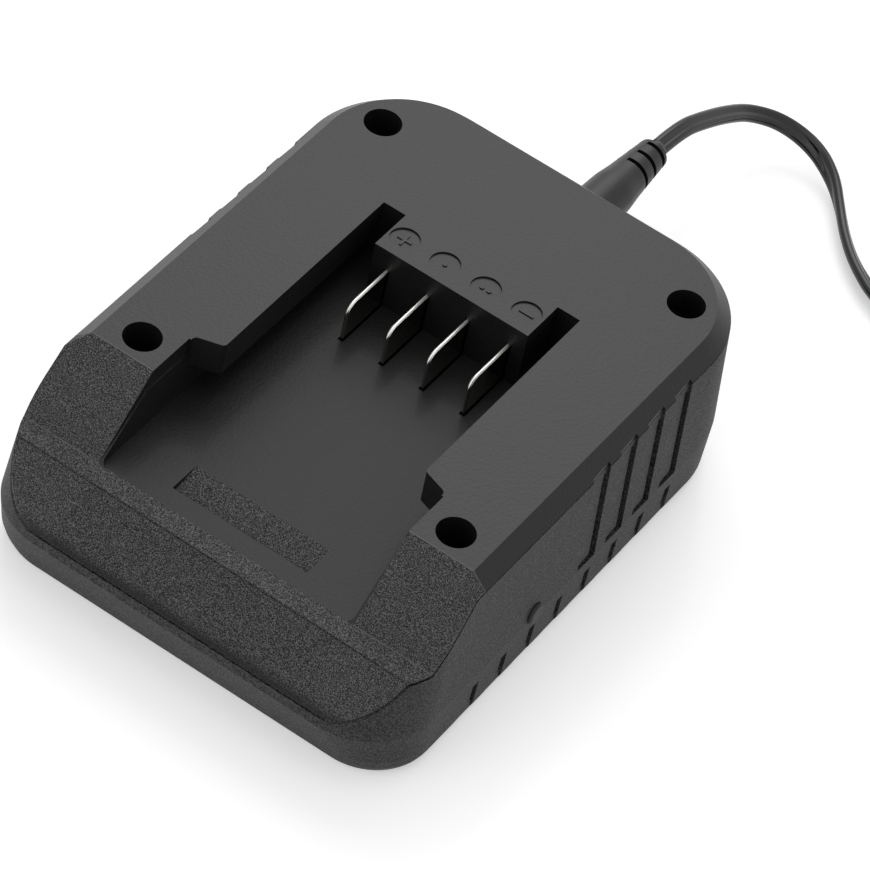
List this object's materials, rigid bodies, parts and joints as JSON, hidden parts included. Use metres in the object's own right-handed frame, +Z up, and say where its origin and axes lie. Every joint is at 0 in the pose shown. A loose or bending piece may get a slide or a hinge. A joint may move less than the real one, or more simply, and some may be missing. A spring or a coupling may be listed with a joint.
{
  "type": "power tool battery charger",
  "caption": "Low desktop charger for slide-in tool batteries: open-fronted rail bay with flat contact blades, two-part vented case, and a pull-out DC plug on a lead with a wall adapter.",
  "frame": {"origin": "on the table under the middle of the case's footprint", "axes": "+Z up, +Y towards the back, where the plug goes in; the battery slides in from -Y"},
  "size_m": [0.2221, 0.2277, 0.0477],
  "materials": {
    "cover_plastic": "satin moulded top plate, fine grain on the ramps and the nose",
    "housing_plastic": "fine moulded grain",
    "black_screw_steel": "black oxide",
    "foot_rubber": "matt",
    "holder_plastic": "plain moulded",
    "nickel_blade": "nickel-plated, bright",
    "board_laminate": "solder mask",
    "zinc_screw_steel": "zinc-plated",
    "heat_sink_aluminium": "extruded, plain",
    "epoxy": "moulded epoxy",
    "can_aluminium": "sleeved can",
    "ferrite": "coated ferrite",
    "shunt_alloy": "plain",
    "fuse_glass": "clear tube, plated caps",
    "jack_plastic": "plain moulded",
    "nickel_contact": "nickel-plated",
    "led_resin": "clear",
    "lens_plastic": "smoked, unlit",
    "grip_vinyl": "satin overmould",
    "lead_vinyl": "satin extruded",
    "tie_vinyl": "plain",
    "adapter_plastic": "fine moulded grain",
    "mains_pin_brass": "nickel-plated brass"
  },
  "bodies": {
    "housing": {"top_cover": "cover_plastic", "bottom_housing": "housing_plastic", "cover_screws": "black_screw_steel", "rubber_feet": "foot_rubber", "terminal_holder": "holder_plastic", "positive_blade": "nickel_blade", "charge_blade": "nickel_blade", "signal_blade": "nickel_blade", "negative_blade": "nickel_blade", "circuit_board": "board_laminate", "board_screws": "zinc_screw_steel", "heat_sink": "heat_sink_aluminium", "power_transistor": "epoxy", "rectifier_diode": "epoxy", "filter_capacitors": "can_aluminium", "power_inductor": "ferrite", "current_shunt": "shunt_alloy", "control_chip": "epoxy", "fuse": "fuse_glass", "dc_jack": "jack_plastic", "jack_center_pin": "nickel_contact", "jack_spring_contact": "nickel_contact", "indicator_led": "led_resin", "indicator_lens": "lens_plastic"},
    "lead": {"plug_grip": "grip_vinyl", "plug_barrel": "nickel_contact", "plug_insulator": "jack_plastic", "plug_contact": "nickel_contact", "lead_cord": "lead_vinyl", "lead_coil": "lead_vinyl", "coil_tie": "tie_vinyl", "adapter_case": "adapter_plastic", "adapter_cover": "adapter_plastic", "adapter_pins": "mains_pin_brass", "adapter_relief": "grip_vinyl"}
  },
  "joints": [
    {"name": "plug_pull", "type": "slide", "parent": "housing", "child": "lead", "axis": [0, 1, 0], "range_m": [0, 0.012]}
  ]
}
